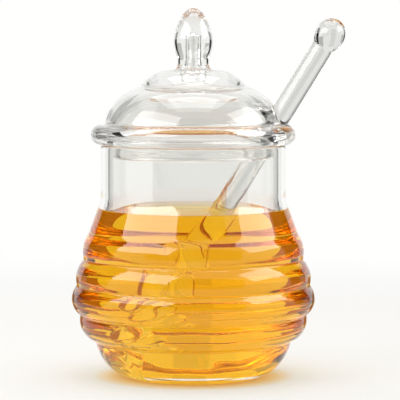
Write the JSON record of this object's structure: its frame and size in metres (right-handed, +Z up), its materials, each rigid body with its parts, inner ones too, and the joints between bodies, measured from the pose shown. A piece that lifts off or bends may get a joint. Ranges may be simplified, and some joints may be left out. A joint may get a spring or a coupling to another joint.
{
  "type": "honey pot",
  "caption": "Clear glass beehive honey pot with stacked ribs, a stepped lid with a teardrop finial and a notch, a leaning ringed glass dipper, and golden honey inside.",
  "frame": {"origin": "centre of the jar's flat foot, on the jar's axis", "axes": "+Z up along the jar's axis, +X towards the side where the dipper leans out through the lid's notch"},
  "size_m": [0.1023, 0.0908, 0.1375],
  "materials": {
    "clear_glass": "fire-polished clear borosilicate glass",
    "honey": "clear golden liquid honey"
  },
  "bodies": {
    "root": {"jar": "clear_glass", "lid": "clear_glass", "dipper": "clear_glass", "honey": "honey"}
  },
  "joints": []
}
